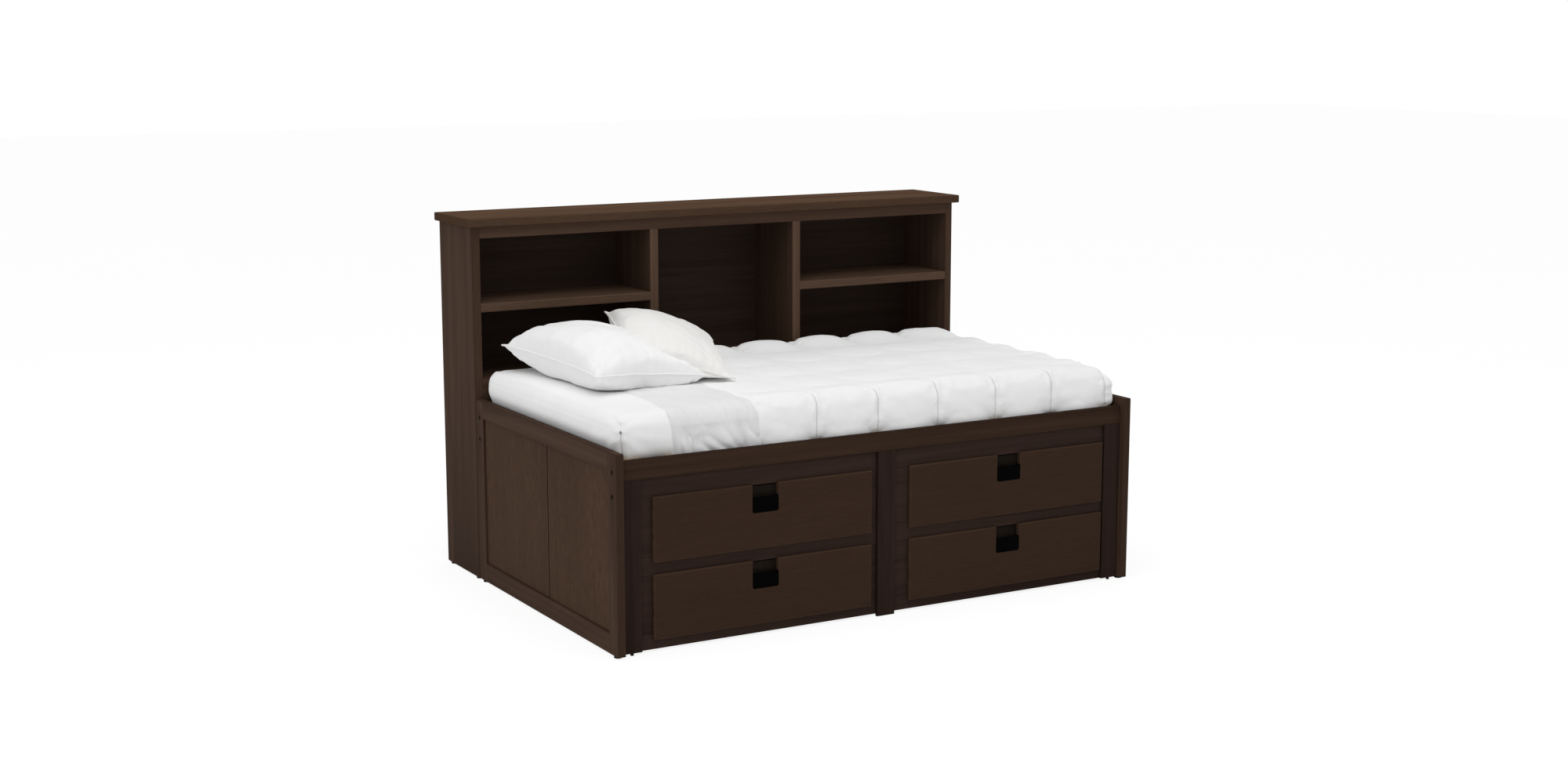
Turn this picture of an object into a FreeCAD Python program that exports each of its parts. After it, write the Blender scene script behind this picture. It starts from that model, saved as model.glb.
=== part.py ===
"""Twin bookcase daybed with two under-bed chests of two drawers each.

Millimetres.  X runs along the bed, Y from the open front to the bookcase, Z is up.
The origin is on the floor at the middle of the footprint.
"""
import FreeCAD, Part
import math
import os
import Sketcher

V = FreeCAD.Vector
doc = FreeCAD.newDocument("BookcaseDaybed")
sheet = doc.addObject("Spreadsheet::Sheet", "dims")

# ---------------------------------------------------------------- driving dimensions
DIMENSIONS = [
    ("total_depth", 1424, "front of the end panels to the back of the bookcase"),
    ("total_high", 1278, "floor to the top of the bookcase"),
    ("foot_high", 7, "glide height, the gap under all the woodwork"),
    ("foot_radius", 14, "glide radius"),
    ("glide_set", 75, "face frame to the front glides of a chest"),
    ("ease", 1.0, "eased arris at a joint between two boards"),
    ("soft", 4.0, "rounded arris that the hand meets"),
    # end panels
    ("panel_span", 1990, "outer face to outer face of the two end panels"),
    ("panel_thick", 27.5, "thickness of the stiles and rails"),
    ("panel_depth", 1123, "front edge to the bookcase"),
    ("panel_high", 649, "top of the end panels"),
    ("stile_wide", 61, "width of each stile"),
    ("end_rail_high", 61, "height of the top rail"),
    ("end_sill_top", 72, "top of the bottom rail"),
    ("board_recess", 7, "how far the boards sit back from the outer face"),
    ("board_thick", 12, "thickness of the two boards"),
    ("board_ease", 3, "arris of the two boards, which shows as a groove at their seam"),
    ("board_seam", 534, "front edge to the seam between the two boards"),
    # bookcase
    ("case_span", 1994, "outer face to outer face of the sides"),
    ("case_depth", 301, "depth of the bookcase"),
    ("side_thick", 29.5, "thickness of the sides"),
    ("case_stile", 57, "width of the rear stile of each side"),
    ("top_thick", 29, "thickness of the top board"),
    ("top_over_side", 18.5, "overhang of the top board at each end"),
    ("top_over_front", 22, "overhang of the top board in front"),
    ("case_rail_high", 41, "height of the rail under the top board"),
    ("case_rail_thick", 22, "thickness of the bookcase rails"),
    ("case_sill_low", 560, "underside of the rail below the bays"),
    ("divider_thick", 31, "thickness of the dividers"),
    ("divider_inner", 281, "middle of the bookcase to the inner face of a divider"),
    ("shelf_thick", 31, "thickness of the shelves"),
    ("shelf_low", 950.5, "underside of the shelves"),
    ("bay_low", 716, "top of the bay floor"),
    ("bay_floor_thick", 22, "thickness of the bay floor"),
    ("back_thick", 6, "thickness of the back panels"),
    ("back_inset", 6, "back panels to the rear face"),
    # bed frame
    ("rail_back", 23, "front edge of the end panels to the front of the rail"),
    ("rail_thick", 22, "thickness of the front rail"),
    ("rail_low", 558.5, "underside of the front rail"),
    ("rail_top", 621, "top of the front rail"),
    ("post_thick", 12, "thickness of the posts"),
    ("corner_post_wide", 67.5, "width of the posts beside the end panels"),
    ("centre_post_wide", 68, "width of the middle post"),
    ("tenon_high", 24, "tenon of each post in the front rail"),
    ("tenon_wide", 40, "width of the tenon"),
    ("tenon_thick", 6, "thickness of the tenon"),
    ("bed_low", 604, "top of the slats, where the mattress lies"),
    ("slat_thick", 18, "thickness of a slat"),
    ("slat_wide", 70, "width of a slat"),
    ("slat_count", 13, "number of slats"),
    ("ledger_deep", 25, "ledger, front to back"),
    ("ledger_high", 25, "height of a ledger"),
    ("rear_rail_thick", 22, "thickness of the rear rail"),
    ("rear_rail_gap", 18, "rear rail to the bookcase"),
    ("rear_rail_low", 495, "underside of the rear rail"),
    # bed bolts
    ("bolt_inset", 29, "front or rear edge of a panel to its bolts"),
    ("bolt_upper", 587.5, "height of the upper bolts"),
    ("bolt_lower", 512, "height of the lower bolts"),
    ("bolt_recess_radius", 8, "radius of the recess for the bolt head"),
    ("bolt_recess_deep", 9, "depth of the recess"),
    ("bolt_head_radius", 6.5, "radius of the bolt head"),
    ("bolt_head_high", 5, "height of the bolt head"),
    ("bolt_radius", 3, "radius of the bolt"),
    ("bolt_bite", 32, "length of bolt past the inner face of the panel"),
    ("dowel_radius", 4, "radius of the dowels between end panels and bookcase"),
    ("dowel_reach", 30, "depth of a dowel in each board"),
    ("dowel_low", 160, "height of the lower dowels"),
    ("dowel_high", 400, "height of the upper dowels"),
    # chests
    ("chest_wide", 930, "width of the face frame"),
    ("chest_face", 35, "front edge of the end panels to the chest's face"),
    ("chest_deep", 480, "depth of a chest"),
    ("chest_top", 556, "top of a chest"),
    ("chest_left_mid", -457.5, "middle of the left chest"),
    ("chest_right_mid", 493, "middle of the right chest"),
    ("face_thick", 19, "thickness of the face frame"),
    ("case_wall", 16, "thickness of the chest's sides and top"),
    ("chest_back_thick", 6, "thickness of the chest's back"),
    ("hole_wide", 780, "width of a drawer opening"),
    ("hole_high", 188, "height of a drawer opening"),
    ("lower_hole", 57, "bottom of the lower opening"),
    ("upper_hole", 306, "bottom of the upper opening"),
    ("face_step", 1.5, "how far the short stiles sit back from the rails"),
    # drawers
    ("front_wide", 802, "width of a drawer front"),
    ("front_high", 210, "height of a drawer front"),
    ("front_thick", 12, "lip of the drawer front, in front of the face frame"),
    ("front_plug", 6, "part of the drawer front inside the opening"),
    ("front_over", 3, "overlap of the drawer front above its opening"),
    ("front_gap", 0.5, "gap between the lip and the face frame"),
    ("plug_gap", 2, "gap round the plug"),
    ("notch_wide", 94, "width of the finger notch"),
    ("notch_deep", 91, "depth of the finger notch from the top edge"),
    ("pull_high", 50, "height of the pull in the notch"),
    ("pull_wall", 3, "wall of the pull"),
    ("pull_round", 6, "radius of the lower corners of notch and pull"),
    ("box_wall", 12, "thickness of the box's walls"),
    ("box_deep", 430, "depth of the box"),
    ("box_high", 172, "height of the box"),
    ("box_lift", 12, "bottom of the opening to the bottom of the box"),
    ("box_floor", 6, "thickness of the box's floor"),
    ("slide_gap", 13.5, "space for a slide at each side of the box"),
    ("slide_long", 400, "length of a slide"),
    ("slide_high", 35, "height of the outer channel"),
    ("slide_skin", 1.5, "sheet thickness of the outer channel"),
    ("slide_bar", 27, "height of the inner member"),
    ("slide_bar_thick", 8, "thickness of the inner member"),
    # bedding
    ("mattress_high", 148, "height of the mattress"),
    ("mattress_round", 30, "edge radius of the mattress"),
    ("bed_clear", 15, "mattress to the end panels"),
    ("quilt_thick", 16, "thickness of the duvet"),
    ("quilt_start", -470, "head end of the duvet"),
    ("quilt_front", 46, "front edge of the end panels to the duvet's front drop"),
    ("quilt_hem", 612, "lower edge of the duvet's drops"),
    ("turn_wide", 308, "width of the turned-down sheet"),
    ("turn_thick", 6, "thickness of the turned-down sheet"),
    ("pillow_long", 680, "pillows, across the bed"),
    ("pillow_wide", 478, "front pillow, along the bed"),
    ("pillow_thick", 192, "thickness of the front pillow"),
    ("rear_pillow_wide", 430, "rear pillow, from edge to edge"),
    ("rear_pillow_thick", 112, "thickness of the rear pillow"),
]
for row, (alias, value, note) in enumerate(DIMENSIONS, start=1):
    sheet.set(f"A{row}", note)
    sheet.set(f"B{row}", str(value))
    sheet.setAlias(f"B{row}", alias)
doc.recompute()


def size(alias):
    """A driving dimension, in millimetres."""
    return float(sheet.get(alias))


def expand(text):
    """Let an expression name a driving dimension by its alias alone."""
    words = []
    word = ""
    for letter in str(text) + " ":
        if letter.isalpha() or letter == "_":
            word += letter
            continue
        words.append("dims." + word if word else "")
        words.append(letter)
        word = ""
    return "".join(words).strip()


# ---------------------------------------------------------------- places worked out once
FRONT = "-total_depth / 2"
CASE_FRONT = f"({FRONT} + panel_depth)"
REAR = "total_depth / 2"
PANEL_INNER = "(panel_span / 2 - panel_thick)"
CASE_INNER = "(case_span / 2 - side_thick)"
CASE_TOP = "(total_high - top_thick)"
BACK_FACE = f"({REAR} - back_inset - back_thick)"
SIDES = {"left": -1, "right": 1}
nodes = []


# ---------------------------------------------------------------- helpers
def keep(obj, name):
    """Name a finished sub-part and remember it for export."""
    obj.Label = name
    nodes.append(obj)
    return obj


def block(name, low, extent):
    """A box with its low corner and its size bound to the sheet."""
    box = doc.addObject("Part::Box", name)
    for prop, text in zip(("Length", "Width", "Height"), extent):
        box.setExpression(prop, expand(text))
    for axis, text in zip("xyz", low):
        box.setExpression(f"Placement.Base.{axis}", expand(text))
    return box


def edge_code(shape, edge):
    """The two faces of a box that an edge lies on, such as 'FT' for front and top."""
    bounds = shape.BoundBox
    middle = edge.CenterOfMass
    code = ""
    for value, low, high, letters in (
        (middle.y, bounds.YMin, bounds.YMax, "FB"),
        (middle.x, bounds.XMin, bounds.XMax, "LR"),
        (middle.z, bounds.ZMin, bounds.ZMax, "DT"),
    ):
        if abs(value - low) < 1e-4:
            code += letters[0]
        if abs(value - high) < 1e-4:
            code += letters[1]
    return code


def rounded(base, name, soft_edges=(), soft="soft", ease="ease"):
    """Round a box: the named edges with the soft radius, all others with the eased one."""
    doc.recompute()
    fillet = doc.addObject("Part::Fillet", name)
    fillet.Base = base
    radii = []
    for number, edge in enumerate(base.Shape.Edges, start=1):
        radius = size(soft) if edge_code(base.Shape, edge) in soft_edges else size(ease)
        radii.append((number, radius, radius))
    fillet.Edges = radii
    return fillet


def board(name, low, extent, soft_edges=(), ease="ease"):
    """A sub-part that is one board with eased edges."""
    return rounded(block(name + "_blank", low, extent), name, soft_edges, ease=ease)


def group(name, parts):
    """Several separate solids that share one node."""
    compound = doc.addObject("Part::Compound", name)
    compound.Links = parts
    return keep(compound, name)


def rod(name, centre, axis, radius, length):
    """A cylinder from centre along axis ('x', '-x', 'y' or 'z')."""
    cylinder = doc.addObject("Part::Cylinder", name)
    cylinder.setExpression("Radius", expand(radius))
    cylinder.setExpression("Height", expand(length))
    for letter, text in zip("xyz", centre):
        cylinder.setExpression(f"Placement.Base.{letter}", expand(text))
    turns = {"x": (0, 90), "-x": (0, -90), "y": (-90, 0), "z": (0, 0)}
    about_x, about_y = turns[axis]
    cylinder.Placement.Rotation = FreeCAD.Rotation(0, about_y, about_x)
    return cylinder


def drilled(name, blank, tools):
    """A board with holes cut by several tools."""
    cutter = doc.addObject("Part::Compound", name + "_tools")
    cutter.Links = tools
    cut = doc.addObject("Part::Cut", name)
    cut.Base = blank
    cut.Tool = cutter
    return cut


def mirrored(side, text):
    """An X position for the left or the right side of the bed."""
    return f"{SIDES[side]} * ({text})"


def low_x(side, outer, thick):
    """The low X of something whose outer face is at +-outer."""
    return f"-({outer})" if side == "left" else f"({outer}) - ({thick})"


def dowels(side, tag):
    """The two dowels across the joint between an end panel and the bookcase."""
    x = mirrored(side, "panel_span / 2 - panel_thick / 2")
    pins = []
    for level in ("dowel_low", "dowel_high"):
        start = (x, f"{CASE_FRONT} - dowel_reach", level)
        pins.append(rod(f"{tag}_{level}_{side}", start, "y", "dowel_radius", "2 * dowel_reach"))
    return pins


# ---------------------------------------------------------------- bookcase
def bookcase():
    top = block(
        "top_blank",
        ("-case_span / 2 - top_over_side", f"{CASE_FRONT} - top_over_front", CASE_TOP),
        ("case_span + 2 * top_over_side", "case_depth + top_over_front", "top_thick"),
    )
    keep(rounded(top, "bookcase_top", ("FT", "FD", "LT", "RT", "FL", "FR", "LD", "RD")), "bookcase_top")

    side_high = f"{CASE_TOP} - foot_high"
    stiles = []
    for side in SIDES:
        x = low_x(side, "case_span / 2", "side_thick")
        outer = "L" if side == "left" else "R"
        name = f"bookcase_side_{side}"
        blank = board(
            name + "_eased",
            (x, CASE_FRONT, "foot_high"),
            ("side_thick", "case_depth - case_stile", side_high),
            ("F" + outer,),
        )
        keep(drilled(name, blank, dowels(side, "case_hole")), name)
        stiles.append(
            board(
                f"rear_stile_{side}",
                (x, f"{REAR} - case_stile", "foot_high"),
                ("side_thick", "case_stile", side_high),
            )
        )
    group("bookcase_rear_stiles", stiles)

    span = f"2 * {CASE_INNER}"
    keep(
        board(
            "bookcase_top_rail",
            (f"-{CASE_INNER}", CASE_FRONT, f"{CASE_TOP} - case_rail_high"),
            (span, "case_rail_thick", "case_rail_high"),
        ),
        "bookcase_top_rail",
    )
    keep(
        board(
            "bookcase_sill_rail",
            (f"-{CASE_INNER}", CASE_FRONT, "case_sill_low"),
            (span, "case_rail_thick", "bay_low - case_sill_low"),
        ),
        "bookcase_sill_rail",
    )
    floor_deep = f"{BACK_FACE} - {CASE_FRONT} - case_rail_thick"
    keep(
        board(
            "bookcase_bay_floor",
            (f"-{CASE_INNER}", f"{CASE_FRONT} + case_rail_thick", "bay_low - bay_floor_thick"),
            (span, floor_deep, "bay_floor_thick"),
        ),
        "bookcase_bay_floor",
    )

    divider_deep = f"{BACK_FACE} - {CASE_FRONT}"
    for side in SIDES:
        name = f"bookcase_divider_{side}"
        x = low_x(side, "divider_inner + divider_thick", "divider_thick")
        lower = block(
            name + "_lower",
            (x, CASE_FRONT, "bay_low"),
            ("divider_thick", divider_deep, f"{CASE_TOP} - case_rail_high - bay_low"),
        )
        upper = block(
            name + "_upper",
            (x, f"{CASE_FRONT} + case_rail_thick", "bay_low"),
            ("divider_thick", f"{divider_deep} - case_rail_thick", f"{CASE_TOP} - bay_low"),
        )
        fuse = doc.addObject("Part::MultiFuse", name)
        fuse.Shapes = [lower, upper]
        fuse.Refine = True
        keep(fuse, name)

    shelves = []
    shelf_wide = f"{CASE_INNER} - divider_inner - divider_thick"
    for side in SIDES:
        x = f"-{CASE_INNER}" if side == "left" else "divider_inner + divider_thick"
        shelves.append(
            board(
                f"shelf_{side}",
                (x, CASE_FRONT, "shelf_low"),
                (shelf_wide, divider_deep, "shelf_thick"),
                ("FT", "FD"),
            )
        )
    group("bookcase_shelves", shelves)

    panels = {
        "bookcase_back_upper": ("bay_low - bay_floor_thick", f"{CASE_TOP}"),
        "bookcase_back_lower": ("foot_high", "bay_low - bay_floor_thick"),
    }
    for name, (low, high) in panels.items():
        panel = block(
            name + "_sheet",
            (f"-{CASE_INNER}", BACK_FACE, low),
            (span, "back_thick", f"{high} - ({low})"),
        )
        keep(panel, name)


# ---------------------------------------------------------------- end panels
def bolt_places(edge):
    """Y and Z of the two bolts near the front or the rear edge of an end panel."""
    y = f"{FRONT} + bolt_inset" if edge == "front" else f"{CASE_FRONT} - bolt_inset"
    return [(y, z) for z in ("bolt_upper", "bolt_lower")]


def bolt_tools(side, edge, tag):
    """Recess and through hole for each bolt of one stile."""
    tools = []
    into = "x" if side == "left" else "-x"
    for number, (y, z) in enumerate(bolt_places(edge)):
        outer = (mirrored(side, "panel_span / 2"), y, z)
        tools.append(rod(f"{tag}_recess_{number}", outer, into, "bolt_recess_radius", "bolt_recess_deep"))
        tools.append(rod(f"{tag}_hole_{number}", outer, into, "bolt_radius", "panel_thick + bolt_bite"))
    return tools


def end_panel(side):
    x = low_x(side, "panel_span / 2", "panel_thick")
    outer = "L" if side == "left" else "R"
    inner = "R" if side == "left" else "L"
    stile_high = "panel_high - foot_high"
    places = {"front": FRONT, "rear": f"{CASE_FRONT} - stile_wide"}
    for edge, y in places.items():
        name = f"end_{side}_{edge}_stile"
        soft_edges = [outer + "T", inner + "T"]
        if edge == "front":
            soft_edges += ["FT", "F" + outer, "F" + inner]
        blank = rounded(
            block(name + "_blank", (x, y, "foot_high"), ("panel_thick", "stile_wide", stile_high)),
            name + "_eased",
            soft_edges,
        )
        holes = bolt_tools(side, edge, name)
        if edge == "rear":
            holes += dowels(side, "stile_hole")
        keep(drilled(name, blank, holes), name)

    rail_long = "panel_depth - 2 * stile_wide"
    rail_y = f"{FRONT} + stile_wide"
    top_rail = board(
        f"end_{side}_top_rail",
        (x, rail_y, "panel_high - end_rail_high"),
        ("panel_thick", rail_long, "end_rail_high"),
        (outer + "T", inner + "T"),
    )
    sill = board(
        f"end_{side}_sill",
        (x, rail_y, "foot_high"),
        ("panel_thick", rail_long, "end_sill_top - foot_high"),
    )
    group(f"end_{side}_rails", [top_rail, sill])

    board_x = low_x(side, "panel_span / 2 - board_recess", "board_thick")
    board_high = "panel_high - end_rail_high - end_sill_top"
    spans = [("stile_wide", "board_seam"), ("board_seam", "panel_depth - stile_wide")]
    boards = []
    for number, (start, stop) in enumerate(spans):
        boards.append(
            board(
                f"end_{side}_board_{number}",
                (board_x, f"{FRONT} + {start}", "end_sill_top"),
                ("board_thick", f"{stop} - ({start})", board_high),
                ease="board_ease",
            )
        )
    group(f"end_{side}_boards", boards)


# ---------------------------------------------------------------- rails, posts and slats
def mortise(name, mid):
    """Mortise for the tenon of the post whose middle is at X = mid."""
    return block(
        name,
        (f"{mid} - tenon_wide / 2", f"{FRONT} + rail_back + (post_thick - tenon_thick) / 2", "rail_low"),
        ("tenon_wide", "tenon_thick", "tenon_high"),
    )


def rail_end_hole(name, side, y, z):
    """Bolt hole in the end of a rail or post."""
    into = "x" if side == "left" else "-x"
    return rod(name, (mirrored(side, PANEL_INNER), y, z), into, "bolt_radius", "bolt_bite")


def post_middle(place):
    """X of the middle of a post."""
    if place == "centre":
        return "0"
    return mirrored(place, f"{PANEL_INNER} - corner_post_wide / 2")


def bed_frame():
    rail = board(
        "front_rail_eased",
        (f"-{PANEL_INNER}", f"{FRONT} + rail_back", "rail_low"),
        (f"2 * {PANEL_INNER}", "rail_thick", "rail_top - rail_low"),
        ("FT", "BT"),
    )
    tools = [mortise(f"mortise_{place}", post_middle(place)) for place in ("left", "centre", "right")]
    y, z = bolt_places("front")[0]
    tools += [rail_end_hole(f"front_rail_hole_{side}", side, y, z) for side in SIDES]
    keep(drilled("front_rail", rail, tools), "front_rail")

    posts = {}
    for place in ("left", "centre", "right"):
        posts[place] = post(place)
    keep(posts["centre"], "centre_post")
    group("corner_posts", [posts["left"], posts["right"]])

    rear_y = f"{CASE_FRONT} - rear_rail_gap - rear_rail_thick"
    rear = board(
        "rear_rail_eased",
        (f"-{PANEL_INNER}", rear_y, "rear_rail_low"),
        (f"2 * {PANEL_INNER}", "rear_rail_thick", "bed_low - rear_rail_low"),
    )
    tools = []
    for side in SIDES:
        for number, (y, z) in enumerate(bolt_places("rear")):
            tools.append(rail_end_hole(f"rear_rail_hole_{side}_{number}", side, y, z))
    keep(drilled("rear_rail", rear, tools), "rear_rail")

    ledger_z = "bed_low - slat_thick - ledger_high"
    ledger_front = f"{FRONT} + rail_back + rail_thick"
    extent = (f"2 * {PANEL_INNER}", "ledger_deep", "ledger_high")
    ledgers = [
        board("ledger_front", (f"-{PANEL_INNER}", ledger_front, ledger_z), extent),
        board("ledger_rear", (f"-{PANEL_INNER}", f"{rear_y} - ledger_deep", ledger_z), extent),
    ]
    group("slat_ledgers", ledgers)

    slats = []
    count = int(size("slat_count"))
    pitch = f"(2 * {PANEL_INNER} - slat_wide - 40) / (slat_count - 1)"
    for number in range(count):
        slats.append(
            board(
                f"slat_{number}",
                (f"-{PANEL_INNER} + 20 + {number} * {pitch}", ledger_front, "bed_low - slat_thick"),
                ("slat_wide", f"{rear_y} - ({ledger_front})", "slat_thick"),
            )
        )
    group("slats", slats)


def post(place):
    """A flat post under the front rail, with a tenon on its top."""
    mid = post_middle(place)
    wide = "centre_post_wide" if place == "centre" else "corner_post_wide"
    low = "0" if place == "centre" else "foot_high"
    shaft = board(
        f"post_{place}_shaft",
        (f"{mid} - {wide} / 2", f"{FRONT} + rail_back", low),
        (wide, "post_thick", f"rail_low - {low}"),
    )
    fuse = doc.addObject("Part::MultiFuse", f"post_{place}_fuse")
    fuse.Shapes = [shaft, mortise(f"tenon_{place}", mid)]
    if place == "centre":
        return fuse
    y, z = bolt_places("front")[1]
    return drilled(f"post_{place}_drilled", fuse, [rail_end_hole(f"post_{place}_hole", place, y, z)])


def fixings():
    """Bed bolts in the end panels and glides under the panels, corner posts, case and chests."""
    bolts = []
    for side in SIDES:
        into = "x" if side == "left" else "-x"
        for edge in ("front", "rear"):
            for number, (y, z) in enumerate(bolt_places(edge)):
                tag = f"{side}_{edge}_{number}"
                seat = mirrored(side, "panel_span / 2 - bolt_recess_deep + bolt_head_high")
                head = rod(f"bolt_head_{tag}", (seat, y, z), into, "bolt_head_radius", "bolt_head_high")
                shank = rod(
                    f"bolt_shank_{tag}",
                    (seat, y, z),
                    into,
                    "bolt_radius",
                    "bolt_head_high - bolt_recess_deep + panel_thick + bolt_bite",
                )
                bolt = doc.addObject("Part::MultiFuse", f"bolt_{tag}")
                bolt.Shapes = [head, shank]
                bolts.append(bolt)
    group("bed_bolts", bolts)
    group("case_dowels", dowels("left", "dowel") + dowels("right", "dowel"))

    spots = []
    for side in SIDES:
        panel_x = mirrored(side, "panel_span / 2 - panel_thick / 2")
        case_x = mirrored(side, "case_span / 2 - side_thick / 2")
        spots += [
            (panel_x, f"{FRONT} + stile_wide / 2"),
            (panel_x, f"{CASE_FRONT} - stile_wide / 2"),
            (case_x, f"{CASE_FRONT} + stile_wide / 2"),
            (case_x, f"{REAR} - case_stile / 2"),
        ]
    feet = []
    for number, (x, y) in enumerate(spots):
        feet.append(rod(f"glide_{number}", (x, y, "0"), "z", "panel_thick / 2 - ease", "foot_high"))
    for place in SIDES:
        spot = (post_middle(place), f"{FRONT} + rail_back + post_thick / 2", "0")
        feet.append(rod(f"glide_{place}", spot, "z", "post_thick / 2 - ease / 2", "foot_high"))
    for chest in SIDES:
        for side in SIDES:
            for where, y in (
                ("front", f"{FRONT} + chest_face + glide_set"),
                ("rear", f"{FRONT} + chest_face + chest_deep - foot_radius"),
            ):
                offset = "hole_wide / 2 + case_wall / 2"
                x = f"chest_{chest}_mid + {SIDES[side]} * ({offset})"
                tag = f"glide_chest_{chest}_{side}_{where}"
                feet.append(rod(tag, (x, y, "0"), "z", "case_wall / 2 - ease", "foot_high"))
    group("glides", feet)


# ---------------------------------------------------------------- chests
def slide_channel(name, x, y, z, opens):
    """Outer channel of a slide, open towards the drawer."""
    outer = block(name + "_outer", (x, y, z), ("slide_gap - 2", "slide_long", "slide_high"))
    shift = "slide_skin" if opens == "+x" else "-slide_skin"
    hollow = block(
        name + "_hollow",
        (f"{x} + {shift}", f"{y} - 1", f"{z} + slide_skin"),
        ("slide_gap - 2", "slide_long + 2", "slide_high - 2 * slide_skin"),
    )
    channel = doc.addObject("Part::Cut", name)
    channel.Base = outer
    channel.Tool = hollow
    return channel


def chest(side):
    """Case of one chest: two sides, top, back, face frame and the fixed slide members."""
    mid = f"chest_{side}_mid"
    face_y = f"{FRONT} + chest_face"
    case_y = f"{face_y} + face_thick"
    case_deep = "chest_deep - face_thick"
    walls = []
    for hand, sign in SIDES.items():
        x = f"{mid} - hole_wide / 2 - case_wall" if sign < 0 else f"{mid} + hole_wide / 2"
        walls.append(
            board(
                f"chest_{side}_wall_{hand}",
                (x, case_y, "foot_high"),
                ("case_wall", case_deep, "chest_top - foot_high"),
            )
        )
    group(f"chest_{side}_sides", walls)
    keep(
        board(
            f"chest_{side}_top",
            (f"{mid} - hole_wide / 2", case_y, "chest_top - case_wall"),
            ("hole_wide", case_deep, "case_wall"),
        ),
        f"chest_{side}_top",
    )
    keep(
        block(
            f"chest_{side}_back",
            (f"{mid} - hole_wide / 2", f"{face_y} + chest_deep - chest_back_thick", "foot_high"),
            ("hole_wide", "chest_back_thick", "chest_top - case_wall - foot_high"),
        ),
        f"chest_{side}_back",
    )

    frame = []
    rails = {
        "low": ("foot_high", "lower_hole"),
        "mid": ("lower_hole + hole_high", "upper_hole"),
        "high": ("upper_hole + hole_high", "chest_top"),
    }
    for tag, (low, high) in rails.items():
        frame.append(
            board(
                f"chest_{side}_rail_{tag}",
                (f"{mid} - chest_wide / 2", face_y, low),
                ("chest_wide", "face_thick", f"{high} - ({low})"),
            )
        )
    stile_wide = "(chest_wide - hole_wide) / 2"
    for level in ("lower", "upper"):
        for hand, sign in SIDES.items():
            x = f"{mid} - chest_wide / 2" if sign < 0 else f"{mid} + hole_wide / 2"
            frame.append(
                board(
                    f"chest_{side}_stile_{level}_{hand}",
                    (x, f"{face_y} + face_step", f"{level}_hole"),
                    (stile_wide, "face_thick - face_step", "hole_high"),
                )
            )
    group(f"chest_{side}_face_frame", frame)

    channels = []
    for level in ("lower", "upper"):
        z = slide_height(level)
        left_x = f"{mid} - hole_wide / 2"
        right_x = f"{mid} + hole_wide / 2 - (slide_gap - 2)"
        tag = f"channel_{side}_{level}"
        channels.append(slide_channel(tag + "_left", left_x, case_y, z, "+x"))
        channels.append(slide_channel(tag + "_right", right_x, case_y, z, "-x"))
    group(f"chest_{side}_slides", channels)


def slide_height(level):
    """Underside of the outer slide channel of a drawer."""
    return f"{level}_hole + box_lift + box_high / 2 - slide_high / 2"


# ---------------------------------------------------------------- drawers
def closed_outline(sketch, points, arcs):
    """Draw a closed outline; arcs maps the index of a corner to (centre, start, stop)."""
    count = len(points)
    for number in range(count):
        first, second = points[number], points[(number + 1) % count]
        if number in arcs:
            centre, radius, start, stop = arcs[number]
            circle = Part.Circle(centre, V(0, 0, 1), radius)
            sketch.addGeometry(Part.ArcOfCircle(circle, start, stop), False)
        else:
            sketch.addGeometry(Part.LineSegment(first, second), False)


def origin_plane(body, role):
    for feature in body.Origin.OriginFeatures:
        if feature.Role == role:
            return feature
    raise RuntimeError("no plane " + role)


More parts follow.
